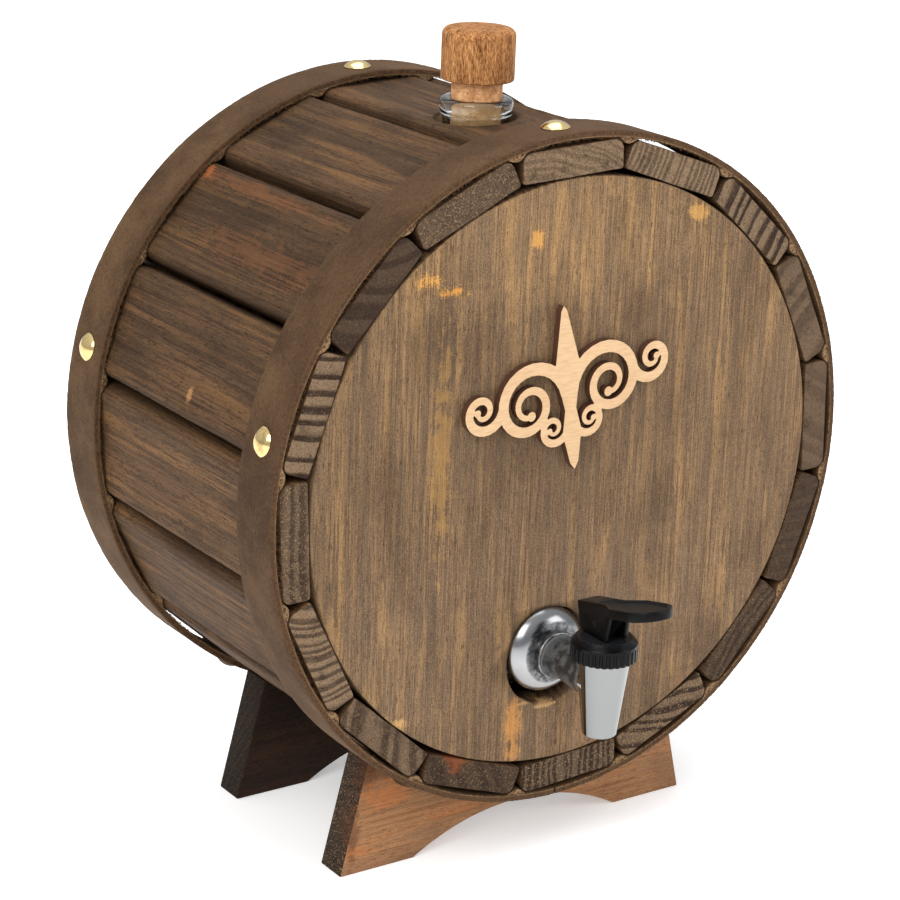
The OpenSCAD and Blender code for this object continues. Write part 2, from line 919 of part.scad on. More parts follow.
// A pointed petal standing on the origin, made of two arcs.
module petal(h, w) {
  r = (h * h + w * w) / (4 * w);
  translate([0, h / 2])
    intersection_for (s = [-1, 1])
      translate([s * (r - w / 2), 0])
        circle(r = r);
}

// Mirrored scrolls on both sides of two petals, 84 wide before scaling.
module ornament_outline() {
  for (m = [0, 1])
    mirror([m, 0]) {
      translate([16, -1])
        scroll(15, 3.4, 640, 4.6, 1.7, 48);
      translate([34, 2.5])
        mirror([0, 1])
          scroll(8.4, 1.8, 540, 3.8, 1.3, 36);
      translate([7.4, -11])
        mirror([0, 1])
          scroll(6.4, 1.5, 520, 3, 1.1, 30);
    }
  translate([0, -14])
    petal(44, 10);
  mirror([0, 1])
    petal(28, 7.5);
}

// Flat cut ornament in the place of a motif on the front head.
module front_ornament() {
  color([0.87, 0.72, 0.52])
    in_barrel()
      translate([orn_x, 0, orn_z])
        rotate([90, 0, 0])
          rotate(orn_tilt)
            linear_extrude(orn_t)
              offset(r = -0.4, $fn = 16)
                offset(r = 0.4, $fn = 16)
                  scale(orn_w / 84)
                    ornament_outline();
}

stave(1);  // stave_01
stave(2);  // stave_02
stave(3);  // stave_03
stave(4);  // stave_04
stave(5);  // stave_05
stave(6);  // stave_06
stave(7);  // stave_07
stave(8);  // stave_08
stave(9);  // stave_09
stave(10);  // stave_10
stave(11);  // stave_11
stave(12);  // stave_12
stave(13);  // stave_13
stave(14);  // stave_14
stave(15);  // stave_15
stave(16);  // stave_16
front_head();
rear_head();
front_hoop();
rear_hoop();
front_hoop_tacks();
rear_hoop_tacks();
front_stand();
rear_stand();
stand_screws();
glass_bottle();
bottle_rest();
stopper_head();
stopper_cork();
tap_spacer();
tap_flange();
tap_body();
tap_ring_nut();
tap_gland();
tap_stem();
tap_plug();
tap_lever();
tap_lever_pin();
front_ornament();
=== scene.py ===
# A table-top cask dispenser for spirits, dressed for its looks around the packed
# model: sixteen flat staves, two board heads, two tacked straps, two stands, a glass
# bottle with a bar-top stopper, and a chromed tap with a black press-down lever.
import math
import random

import bmesh
import bpy
from mathutils import Matrix, Vector, noise


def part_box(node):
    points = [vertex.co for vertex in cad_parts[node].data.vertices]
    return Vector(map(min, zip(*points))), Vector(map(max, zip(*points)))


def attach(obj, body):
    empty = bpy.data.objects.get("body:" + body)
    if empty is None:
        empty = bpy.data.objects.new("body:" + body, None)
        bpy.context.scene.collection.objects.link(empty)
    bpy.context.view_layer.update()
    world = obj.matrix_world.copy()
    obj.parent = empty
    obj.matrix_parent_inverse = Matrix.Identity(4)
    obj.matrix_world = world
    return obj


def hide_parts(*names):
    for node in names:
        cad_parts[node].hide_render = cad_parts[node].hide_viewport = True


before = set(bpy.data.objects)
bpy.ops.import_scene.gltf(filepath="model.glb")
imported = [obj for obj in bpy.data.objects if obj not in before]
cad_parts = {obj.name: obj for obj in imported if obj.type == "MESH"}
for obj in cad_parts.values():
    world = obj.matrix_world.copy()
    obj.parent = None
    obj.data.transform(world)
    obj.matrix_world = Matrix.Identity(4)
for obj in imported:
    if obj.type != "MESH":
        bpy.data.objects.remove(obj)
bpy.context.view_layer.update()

# Camera: a long lens, a little above and to the left of the tap, with the slight
# roll of a hand-held product shot.
barrel_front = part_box("stave_01")[0].y
camera_place = Vector((-0.5801, barrel_front - 0.7516, 0.4766))
camera_right = Vector((0.8205, -0.5717, 0.0))
camera_up = Vector((0.1778, 0.2552, 0.9504))
camera_back = Vector((-0.5433, -0.7798, 0.3110))
camera_roll = math.radians(2.23)
camera_data = bpy.data.cameras.new("camera")
camera_data.lens = 106.08
camera_data.sensor_width = 36
camera_data.clip_start = 0.05
camera_data.clip_end = 60
camera = bpy.data.objects.new("camera", camera_data)
rolled_right = math.cos(camera_roll) * camera_right + math.sin(camera_roll) * camera_up
rolled_up = math.cos(camera_roll) * camera_up - math.sin(camera_roll) * camera_right
camera.matrix_world = Matrix.Translation(camera_place) @ Matrix(
    (rolled_right, rolled_up, camera_back)).transposed().to_4x4()
bpy.context.scene.collection.objects.link(camera)
bpy.context.scene.camera = camera
bpy.context.scene.view_settings.view_transform = "Standard"
bpy.context.scene.view_settings.look = "None"


# Studio: a wide white floor, a pale sky that is a little greyer near the horizon,
# and three large soft boxes at the upper left, at the right and overhead.
class Wire:
    """One output socket of a finish, with arithmetic."""

    def __init__(self, finish, socket):
        self.finish, self.socket = finish, socket

    def out(self, name):
        return Wire(self.finish, self.socket.node.outputs[name])

    def math(self, operation, first, second=0.0):
        return self.finish.add("ShaderNodeMath", {"operation": operation},
                               {0: first, 1: second})

    def __add__(self, other):
        return self.math("ADD", self, other)

    __radd__ = __add__

    def __sub__(self, other):
        return self.math("SUBTRACT", self, other)

    def __rsub__(self, other):
        return self.math("SUBTRACT", other, self)

    def __mul__(self, other):
        return self.math("MULTIPLY", self, other)

    def __truediv__(self, other):
        return self.math("DIVIDE", self, other)

    def __abs__(self):
        return self.math("ABSOLUTE", self)

    def fract(self):
        return self.math("FRACT", self)

    def root(self):
        return self.math("SQRT", self)

    def fade(self, low, high):
        """0 below low, 1 above high, smooth in between; low may be the larger."""
        return self.finish.add("ShaderNodeMapRange", {"interpolation_type": "SMOOTHSTEP"},
                               {"Value": self, "From Min": low, "From Max": high})


class Finish:
    """The nodes of one material."""

    def __init__(self, name):
        self.material = bpy.data.materials.new(name)
        self.material.use_nodes = True
        self.tree = self.material.node_tree
        self.shader = self.tree.nodes["Principled BSDF"]

    def add(self, kind, settings, inputs, output=0):
        """A node of that kind: its settings first, then its sockets' values or links."""
        node = self.tree.nodes.new(kind)
        for key, value in settings.items():
            if key == "stops":
                for element in list(node.color_ramp.elements)[1:]:
                    node.color_ramp.elements.remove(element)
                node.color_ramp.elements[0].position = value[0][0]
                node.color_ramp.elements[0].color = value[0][1]
                for position, colour in value[1:]:
                    node.color_ramp.elements.new(position).color = colour
            else:
                setattr(node, key, value)
        self.plug(node, inputs)
        return Wire(self, node.outputs[output])

    def plug(self, node, inputs):
        for key, value in inputs.items():
            if isinstance(value, Wire):
                self.tree.links.new(value.socket, node.inputs[key])
            else:
                node.inputs[key].default_value = value

    def surface(self, inputs):
        self.plug(self.shader, inputs)
        return self.material

    def spot(self):
        """The point in the part's frame, in metres."""
        return self.add("ShaderNodeTexCoord", {}, {}, "Object")

    def axes(self, vector):
        """A vector taken apart: its out("X"), out("Y") and out("Z")."""
        return self.add("ShaderNodeSeparateXYZ", {}, {0: vector})

    def facing(self):
        """The way the surface faces in the part's frame, taken apart."""
        return self.axes(self.add("ShaderNodeTexCoord", {}, {}, "Normal"))

    def carried(self, layer, output="Fac"):
        """What the mesh's points carry under that name."""
        return self.add("ShaderNodeAttribute", {"attribute_name": layer}, {}, output)

    def stretched(self, vector, by):
        return self.add("ShaderNodeVectorMath", {"operation": "MULTIPLY"},
                        {0: vector, 1: by})

    def cloud(self, vector, scale, detail=2.0, rough=0.5, twist=0.0):
        return self.add("ShaderNodeTexNoise", {}, {
            "Vector": vector, "Scale": scale, "Detail": detail, "Roughness": rough,
            "Distortion": twist})

    def mixed(self, share, first, second, blend="MIX"):
        return self.add("ShaderNodeMix", {"data_type": "RGBA", "blend_type": blend},
                        {0: share, 6: first, 7: second}, 2)

    def ramp(self, value, stops):
        return self.add("ShaderNodeValToRGB", {"stops": stops}, {"Fac": value})

    def relief(self, height, depth, strength=1.0):
        return self.add("ShaderNodeBump", {}, {
            "Height": height, "Distance": depth, "Strength": strength})


def tone(red, green, blue):
    """A colour as it looks on a screen, 0 to 255, for a shader socket. Over 255 it is
    a tint that lightens what it multiplies."""
    return tuple((c / 255) ** 2.2 for c in (red, green, blue)) + (1.0,)


def shown(name, bm, material, angle=30):
    """Turns a finished bmesh into an object that is smooth up to that angle."""
    mesh = bpy.data.meshes.new(name)
    bm.to_mesh(mesh)
    bm.free()
    mesh.materials.append(material)
    mesh.shade_smooth()
    mesh.set_sharp_from_angle(angle=math.radians(angle))
    piece = bpy.data.objects.new(name, mesh)
    bpy.context.scene.collection.objects.link(piece)
    return piece


floor_paint = Finish("floor_paint")
floor_mesh = bmesh.new()
bmesh.ops.create_grid(floor_mesh, x_segments=2, y_segments=2, size=40)
floor = shown("floor", floor_mesh, floor_paint.surface(
    {"Base Color": (0.9, 0.9, 0.9, 1), "Roughness": 0.8, "Specular IOR Level": 0.1,
     "Emission Color": (1, 1, 1, 1), "Emission Strength": 0.35}))

world = bpy.data.worlds.new("studio")
bpy.context.scene.world = world
world.use_nodes = True
sky_nodes = world.node_tree.nodes
sky_ramp = sky_nodes.new("ShaderNodeValToRGB")
sky_ramp.color_ramp.elements[0].color = (0.52, 0.53, 0.55, 1)
sky_ramp.color_ramp.elements[1].color = (1.0, 1.0, 1.0, 1)
sky_axes = sky_nodes.new("ShaderNodeSeparateXYZ")
sky_spot = sky_nodes.new("ShaderNodeTexCoord")
world.node_tree.links.new(sky_spot.outputs["Generated"], sky_axes.inputs[0])
world.node_tree.links.new(sky_axes.outputs["Z"], sky_ramp.inputs["Fac"])
world.node_tree.links.new(sky_ramp.outputs[0], sky_nodes["Background"].inputs[0])
sky_nodes["Background"].inputs[1].default_value = 1.05

for name, place, size, power in (
        ("soft_box_left", (-1.5, -0.9, 1.5), 1.2, 27.0),
        ("soft_box_right", (1.3, -1.5, 0.9), 0.9, 11.0),
        ("soft_box_top", (0.1, 0.3, 1.9), 1.4, 18.0)):
    lamp = bpy.data.lights.new(name, "AREA")
    lamp.size = size
    lamp.energy = power
    lamp_object = bpy.data.objects.new(name, lamp)
    lamp_object.location = place
    lamp_object.rotation_euler = (Vector((0, 0, 0.15)) - Vector(place)).to_track_quat(
        "-Z", "Y").to_euler()
    bpy.context.scene.collection.objects.link(lamp_object)

# Dark cards lie in front of the tap, where only the chrome mirrors them.
card_paint = Finish("card_paint")
card_black = card_paint.surface({"Base Color": (0.02, 0.02, 0.02, 1), "Roughness": 1.0})
for name, place, wide, long in (("card_near", (0.13, -0.30, 0.002), 0.05, 0.22),
                                ("card_far", (0.30, -0.42, 0.002), 0.12, 0.30)):
    card_mesh = bmesh.new()
    bmesh.ops.create_grid(card_mesh, x_segments=1, y_segments=1, size=0.5)
    bmesh.ops.scale(card_mesh, vec=(wide, long, 1), verts=card_mesh.verts)
    card = shown(name, card_mesh, card_black)
    card.location = place
    card.visible_camera = card.visible_diffuse = card.visible_shadow = False


# Staves: sixteen flat slats of softwood with a dark stain and rounded outer edges, sawn
# square at the ends, where the growth rings show as bold stripes.
barrel_axis = 0.1578
barrel_length = 0.159
stave_inside = 0.1154
stave_thick = 0.012
stave_wide = 0.04571
stave_count = 16
stave_turn = math.radians(-3)
stave_step = math.tau / stave_count


def timber(name, early, late, warm, grey, end_early, end_late, glow, along="Y",
           ring_face=0.3, lined=0.6, banded=0.5, run=1.0, dusty=1.0, depth=0.0002,
           marks=()):
    """Sawn wood. The piece's 'board' is its place in millimetres from the pith, 'rings'
    the width of a year, 'stained' how far its faces are darkened, and 'nature' how bold,
    pale and golden its cut end is. Ring_face, lined, banded and dusty say how strongly
    years, lines, bands and dust show on the faces, and run shortens the lines. Marks are
    knots, rubbed spots and washes: place and reach in metres, colour and strength."""
    wood = Finish(name)
    board, rings = wood.carried("board", "Vector"), wood.carried("rings")
    nature, stained = wood.axes(wood.carried("nature", "Vector")), wood.carried("stained")
    sway = wood.cloud(wood.stretched(board, (0.03, 0.006, 0.03)), 1.0, 2) - 0.5
    across, through = wood.axes(board).out("X"), wood.axes(board).out("Z")
    radius = (across * across + through * through).root() + sway * 9.0
    uneven = wood.cloud(wood.add("ShaderNodeCombineXYZ", {}, {0: radius / rings}), 0.5, 2)
    year = (radius / rings + uneven * 2.4).fract()
    late_wood = year.fade(0.3, 0.6) * year.fade(1.0, 0.88)
    fibre = wood.cloud(wood.stretched(board, (1.5, 0.03, 1.5)), 1.0, 4, 0.6)
    lines = wood.cloud(wood.stretched(board, (0.36, 0.007 * run, 0.36)), 1.0, 3, 0.6)
    dashes = wood.cloud(wood.stretched(board, (2.4, 0.26, 2.4)), 1.0, 2, 0.6)
    bands = wood.cloud(wood.stretched(board, (0.1, 0.006 * run, 0.1)), 1.0, 3, 0.5, 0.4)
    patches = wood.cloud(wood.stretched(board, (0.05, 0.02, 0.05)), 1.0, 3, 0.55)
    speck = wood.cloud(wood.stretched(board, (1.7, 1.7, 1.7)), 1.0, 3, 0.7)
    cut_end = abs(wood.facing().out(along)).fade(0.6, 0.85)
    face = wood.mixed(late_wood * (0.3 + bands) * ring_face + fibre.fade(0.4, 0.62) * 0.55,
                      early, late)
    face = wood.mixed(lines.fade(0.47, 0.6) * lined, face, grey)
    face = wood.mixed(lines.fade(0.45, 0.34) * lined, face, warm)
    face = wood.mixed(bands.fade(0.47, 0.64) * banded, face, grey)
    face = wood.mixed(bands.fade(0.43, 0.3) * banded, face, warm)
    face = wood.mixed(patches.fade(0.5, 0.68) * 0.4, face, late)
    face = wood.mixed(speck.fade(0.5, 0.66) * 0.4 * dusty, face, late)
    face = wood.mixed(speck.fade(0.47, 0.34) * 0.3 * dusty, face, glow)
    face = wood.mixed(dashes.fade(0.57, 0.66) * 0.75, face, late)
    # Each piece's own darkening of its faces: partly stain, partly painted shade.
    face = wood.mixed(stained, face, late)
    chips = wood.cloud(wood.stretched(board, (0.16, 0.16, 0.16)), 1.0, 3, 0.6)
    end = wood.mixed(nature.out("Y"), end_late, end_early)
    end = wood.mixed(late_wood * nature.out("X") * (0.6 + chips * 0.7), end, end_late)
    end = wood.mixed(chips.fade(0.54, 0.7) * 0.5, end, end_late)
    end = wood.mixed(speck.fade(0.5, 0.62) * 0.5, end, end_late)
    end = wood.mixed(speck.fade(0.44, 0.34) * nature.out("Z"), end, glow)
    colour = wood.mixed(cut_end, face, end)
    for place, size, shade, strength in marks:
        by = tuple(1 / reach for reach in size)
        gap = wood.add("ShaderNodeVectorMath", {"operation": "DISTANCE"}, {
            0: wood.stretched(wood.spot(), by),
            1: tuple(axis * share for axis, share in zip(place, by))}, "Value")
        # A wide wash, which the heads use for painted light, has a soft edge and tints the
        # grain; a small mark is torn and covers it.
        torn = min(1.0, 0.008 / min(size))
        blot = (gap + (fibre - 0.5) * 2.0 * torn + (speck - 0.5) * 1.5 * torn
                + (chips - 0.5) * 2.5 * torn).fade(1.0 + 0.3 * (1 - torn), 0.35)
        colour = wood.mixed(blot * strength, colour, shade,
                            "MULTIPLY" if torn < 0.5 else "MIX")
    height = (fibre * 0.6 + dashes * 0.4 - late_wood * 0.2
              + cut_end * (speck * 1.4 + late_wood * 1.6 + chips * 3.0))
    return wood.surface({
        "Base Color": colour,
        "Roughness": 0.66 + fibre * 0.15,
        "Normal": wood.relief(height, depth),
        "Specular IOR Level": 0.15})


def grain(piece, to_board, pith, rings=3.0, nature=(0.9, 0.5, 0.3), stained=0.0):
    """Gives each point its place on the board it was sawn from, in millimetres."""
    layers = piece.data.attributes
    for label, kind in (("board", "FLOAT_VECTOR"), ("rings", "FLOAT"),
                        ("nature", "FLOAT_VECTOR"), ("stained", "FLOAT")):
        layers.new(label, kind, "POINT")
    for vertex, place, year, kind, dark in zip(
            piece.data.vertices, layers["board"].data, layers["rings"].data,
            layers["nature"].data, layers["stained"].data):
        place.vector = (to_board @ vertex.co) * 1000 - Vector(pith)
        year.value = rings
        kind.vector = nature
        dark.value = stained


def cuts(bm, along, places):
    """Loops across the piece, so that its faces can follow a worn surface."""
    for place in places:
        bmesh.ops.bisect_plane(bm, geom=bm.verts[:] + bm.edges[:] + bm.faces[:], dist=1e-7,
                               plane_co=Vector(along) * place, plane_no=along)


def worn(bm, seed, long_wave, deep, short_wave=0.004, nibble=0.0):
    """Sinks the surface a little, in slow waves and in small nibbles."""
    bm.normal_update()
    shift = Vector((seed * 3.7, seed * 1.3, seed * 7.1))
    moves = []
    for vertex in bm.verts:
        slow = 0.5 + 0.5 * noise.noise(vertex.co / long_wave + shift)
        quick = max(0.0, noise.noise(vertex.co / short_wave + shift))
        moves.append(vertex.normal * (slow * deep + quick * nibble))
    for vertex, move in zip(bm.verts, moves):
        vertex.co -= move


def rounded(bm, edges, size, segments):
    bmesh.ops.bevel(bm, geom=edges, offset=size, offset_type="OFFSET", segments=segments,
                    profile=0.5, affect="EDGES", material=-1)


stave_wood = timber(
    "stave_wood", tone(105, 78, 54), tone(36, 25, 17), tone(128, 92, 57), tone(70, 53, 37),
    tone(156, 129, 102), tone(46, 33, 25), tone(172, 144, 102), lined=0.5, run=1.5,
    dusty=0.35, marks=(
        ((-0.1242, barrel_front + 0.0721, 0.1888), (0.005, 0.0022, 0.0046),
         tone(150, 108, 70), 0.85),
        ((-0.0830, barrel_front + 0.1325, 0.2562), (0.004, 0.0035, 0.004),
         tone(138, 80, 46), 0.9),
        ((-0.0835, barrel_front + 0.0950, 0.2556), (0.004, 0.060, 0.0040),
         tone(116, 72, 44), 0.35),
        ((-0.0990, barrel_front + 0.0600, 0.2390), (0.008, 0.060, 0.008),
         tone(116, 74, 46), 0.28),
        ((-0.0463, barrel_front, 0.0533), (0.0090, 0.01, 0.0070), tone(126, 70, 42), 0.8),
        ((-0.0352, barrel_front, 0.0560), (0.0060, 0.01, 0.0060),
         tone(186, 156, 112), 0.6)))
# For each stave: the pith's direction in degrees, its distance and the width of a
# year in millimetres, how bold, pale and golden its cut end is, and how far its face
# is darkened. The darkening of the faces, and of some cut ends by a low paleness, is
# partly stain and partly painted shade.
piths = ((250, 60, 3.0, 0.35, 0.5, 0.4, 0.27), (176, 130, 2.8, 0.6, 0.55, 0.3, 0.22),
         (196, 140, 6.0, 1.0, 0.5, 0.2, 0.22), (25, 120, 9.0, 0.5, 0.35, 0.1, 0.32),
         (150, 110, 9.0, 0.3, 0.3, 0.06, 0.22), (200, 80, 4.6, 0.35, 0.1, 0.15, 0.18),
         (92, 110, 5.0, 0.8, 0.12, 0.3, 0.32), (239, 110, 5.2, 1.0, 0.4, 0.7, 0.28),
         (356, 160, 3.4, 1.0, 0.25, 0.6, 0.32), (40, 90, 9.0, 0.7, 0.1, 0.4, 0.22),
         (215, 90, 8.0, 0.75, 0.35, 0.3, 0.18), (335, 60, 3.4, 0.75, 0.55, 0.2, 0.14),
         (268, 130, 5.0, 0.7, 0.28, 0.5, 0.0), (10, 150, 5.8, 1.0, 0.5, 0.2, 0.27),
         (40, 60, 9.0, 0.8, 0.12, 0.1, 0.35), (250, 60, 2.6, 0.1, 0.22, 0.6, 0.3))
staves = []
for i in range(stave_count):
    bm = bmesh.new()
    bmesh.ops.create_cube(bm, size=1)
    bmesh.ops.scale(bm, vec=(stave_wide, barrel_length, stave_thick), verts=bm.verts)
    bmesh.ops.translate(bm, vec=(0, barrel_length / 2, stave_thick / 2), verts=bm.verts)
    # The long outer edges are well rounded, the inner ones eased, the sawn ends crisp.
    for outer, size, segments in ((True, 0.004, 6), (False, 0.0014, 3)):
        rounded(bm, [e for e in bm.edges
                     if abs(e.verts[0].co.y - e.verts[1].co.y) > 0.1
                     and (e.verts[0].co.z + e.verts[1].co.z > 1.99 * stave_thick if outer
                          else e.verts[0].co.z + e.verts[1].co.z < 1e-6)
                     and abs(e.verts[0].co.x) > stave_wide / 2 - 1e-6], size, segments)
    bm.normal_update()
    rounded(bm, [e for e in bm.edges if len(e.link_faces) == 2
                 and sum(abs(f.normal.y) > 0.9 for f in e.link_faces) == 1], 0.0007, 2)
    cuts(bm, (1, 0, 0), [k * 0.0055 for k in range(-3, 4)])
    cuts(bm, (0, 1, 0), [k * barrel_length / 54 for k in range(1, 54)])
    worn(bm, i + 1, 0.03, 0.0004, 0.005, 0.0003)
    turn = Matrix.Rotation(stave_turn + i * stave_step, 4, "Y")
    place = (Matrix.Translation((0, barrel_front, barrel_axis)) @ turn
             @ Matrix.Translation((0, 0, stave_inside)))
    bmesh.ops.transform(bm, matrix=place, verts=bm.verts)
    stave = shown(f"stave_{i + 1:02d}_wood", bm, stave_wood, 40)
    staves.append((stave, place))


def drilled(piece, middle, axis, radius, depth):
    """Cuts a round hole through a piece."""
    bm = bmesh.new()
    bmesh.ops.create_cone(bm, cap_ends=True, segments=96, radius1=radius, radius2=radius,
                          depth=depth)
    bmesh.ops.transform(bm, verts=bm.verts, matrix=Matrix.Translation(middle)
                        @ Vector(axis).to_track_quat("Z", "Y").to_matrix().to_4x4())
    drill = shown("drill", bm, piece.data.materials[0])
    cut = piece.modifiers.new("hole", "BOOLEAN")
    cut.operation = "DIFFERENCE"
    cut.solver = "EXACT"
    cut.object = drill
    seen = piece.evaluated_get(bpy.context.evaluated_depsgraph_get())
    mesh = bpy.data.meshes.new_from_object(seen)
    piece.modifiers.clear()
    piece.data = mesh
    bpy.data.objects.remove(drill)


bottle_axis = Vector((-0.0087, barrel_front + 0.060, 0))
tap_height = barrel_axis - 0.0682
neck_hole = 0.0160
drilled(staves[0][0], (bottle_axis.x, bottle_axis.y, barrel_axis + 0.12), (0, 0, 1),
        neck_hole, 0.04)
for i, (stave, place) in enumerate(staves):
    angle, reach, rings = math.radians(piths[i][0]), piths[i][1], piths[i][2]
    grain(stave, place.inverted(), (reach * math.cos(angle), 400.0 * i,
                                    6 + reach * math.sin(angle)), rings, piths[i][3:6],
          piths[i][6])
    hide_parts(f"stave_{i + 1:02d}")
    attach(stave, "cask")

# Heads: round boards of lighter pine, grain upright, planed and rubbed with a thin
# brown stain. The front one has the tap's hole, low and left of the middle.
head_radius = 0.11525
head_thick = 0.015
tap_hole = Vector((bottle_axis.x + 0.0023, barrel_front + 0.005, barrel_axis - 0.0718))
tap_hole_radius = 0.020
head_wood = timber(
    "head_wood", tone(124, 99, 74), tone(64, 50, 39), tone(152, 118, 78),
    tone(94, 78, 63), tone(104, 80, 58), tone(56, 41, 31), tone(164, 130, 86),
    along="Z", ring_face=0.2, lined=0.5, banded=0.4, run=2.6, depth=0.0001, marks=(
        ((-0.0204, barrel_front, 0.2514), (0.004, 0.02, 0.005), tone(184, 134, 72), 0.6),
        ((-0.0677, barrel_front, 0.2411), (0.005, 0.02, 0.0035), tone(190, 138, 70), 0.75),
        ((-0.0568, barrel_front, 0.2358), (0.006, 0.02, 0.003), tone(186, 130, 62), 0.75),
        ((0.0540, barrel_front, 0.2544), (0.006, 0.02, 0.004), tone(176, 132, 74), 0.6),
        ((-0.0226, barrel_front, 0.0600), (0.0045, 0.02, 0.016), tone(176, 122, 66), 0.7),
        # A painted highlight along the board's lower left rim.
        ((-0.0785, barrel_front, 0.0725), (0.007, 0.02, 0.0035), tone(188, 146, 92), 0.6),
        ((-0.0160, barrel_front, 0.0684), (0.004, 0.02, 0.0012), tone(176, 138, 92), 0.7),
        ((-0.0070, barrel_front, 0.0656), (0.006, 0.02, 0.0010), tone(176, 138, 92), 0.7),
        ((-0.0600, barrel_front, 0.1750), (0.005, 0.02, 0.045), tone(158, 120, 68), 0.45),
        # The last three marks are wide washes of painted light: the board is lightened at
        # the top, low in the middle and at the right.
        ((-0.0100, barrel_front, 0.2500), (0.080, 0.02, 0.030), tone(298, 296, 286), 0.9),
        ((-0.0200, barrel_front, 0.0950), (0.120, 0.02, 0.055), tone(278, 280, 286), 0.9),
        ((0.0850, barrel_front, 0.1700), (0.040, 0.02, 0.080), tone(276, 276, 274), 0.9)))
for name, near, seed in (("front_head", 0.0, 3),
                         ("rear_head", barrel_length - head_thick, 8)):
    bm = bmesh.new()
    bmesh.ops.create_cone(bm, cap_ends=True, segments=180, radius1=head_radius,
                          radius2=head_radius, depth=head_thick)
    bm.normal_update()
    rounded(bm, [e for e in bm.edges if abs(e.verts[0].co.z - e.verts[1].co.z) < 1e-6
                 and e.verts[0].co.xy.length > head_radius - 1e-6
                 and e.verts[1].co.xy.length > head_radius - 1e-6], 0.0008, 3)
    cuts(bm, (1, 0, 0), [k * 0.0125 for k in range(-9, 10)])
    cuts(bm, (0, 1, 0), [k * 0.0125 for k in range(-9, 10)])
    worn(bm, seed, 0.05, 0.00012)
    bmesh.ops.transform(bm, verts=bm.verts, matrix=Matrix.Translation(
        (0, barrel_front + near + head_thick / 2, barrel_axis)) @ Matrix.Rotation(
        math.radians(90), 4, "X"))
    head = shown(f"{name}_board", bm, head_wood, 40)
    if name == "front_head":
        drilled(head, tap_hole, (0, 1, 0), tap_hole_radius, 0.04)
    # The board lies with its length upright, so along the grain is the part's Z.
    grain(head, Matrix.Rotation(math.radians(-90), 4, "X"),
          (24.0 + 9 * seed, 900.0 * seed, 46), 3.6)
    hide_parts(name)
    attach(head, "cask")

# Straps: two bands of thick brown hide bent round the staves and butted at the
# bottom, smooth outside, with raw fibrous cut edges.
strap_inside = 0.12898
strap_thick = 0.003
strap_wide = 0.024
strap_gap = 0.0006
joint_sink = 0.0026
joint_reach = 2.0
hair_count = 3000
hide = Finish("strap_leather")
hide_spot = hide.spot()
hide_mottle = hide.cloud(hide_spot, 42, 4, 0.6)
hide_bloom = hide.cloud(hide_spot, 12, 3, 0.55)
hide_grain = hide.cloud(hide_spot, 900, 3, 0.6)
hide_pore = hide.add("ShaderNodeTexVoronoi", {}, {"Vector": hide_spot, "Scale": 1400})
hide_cut = abs(hide.facing().out("Y")).fade(0.5, 0.9)
hide_face = hide.mixed(hide_mottle.fade(0.3, 0.7), tone(86, 65, 45), tone(60, 43, 29))
hide_face = hide.mixed(hide_bloom.fade(0.45, 0.7) * 0.6, hide_face, tone(66, 47, 32))
hide_face = hide.mixed(hide_grain.fade(0.5, 0.66) * 0.45, hide_face, tone(48, 35, 25))
hide_face = hide.mixed(hide_grain.fade(0.46, 0.34) * 0.12, hide_face, tone(116, 92, 68))
hide_edge = hide.mixed(hide_grain.fade(0.38, 0.66) * 0.7, tone(84, 62, 43),
                       tone(46, 33, 24))
hide_axes = hide.axes(hide_spot)
hide_up = hide_axes.out("Z") - barrel_axis
hide_round = (hide_axes.out("X") * hide_axes.out("X") + hide_up * hide_up).root()
hide_rim = hide_round.fade(strap_inside + 0.0011, strap_inside + 0.0003) + hide_round.fade(
    strap_inside + strap_thick - 0.0006, strap_inside + strap_thick)
hide_edge = hide.mixed(hide_rim * hide_grain.fade(0.4, 0.55) * 0.6, hide_edge,
                       tone(156, 126, 92))
hide_edge = hide.mixed(hide.carried("fuzz"), hide_edge, tone(166, 138, 104))
hide_finish = hide.surface({
    "Base Color": hide.mixed(hide_cut, hide_face, hide_edge),
    "Roughness": 0.72 + hide_mottle * 0.15,
    "Normal": hide.relief(hide_grain * 0.6 + hide_pore * 0.4 + hide_mottle * 1.5, 0.00015),
    "Specular IOR Level": 0.15, "Sheen Weight": 0.1, "Sheen Roughness": 0.4,
    "Sheen Tint": tone(214, 172, 126)})
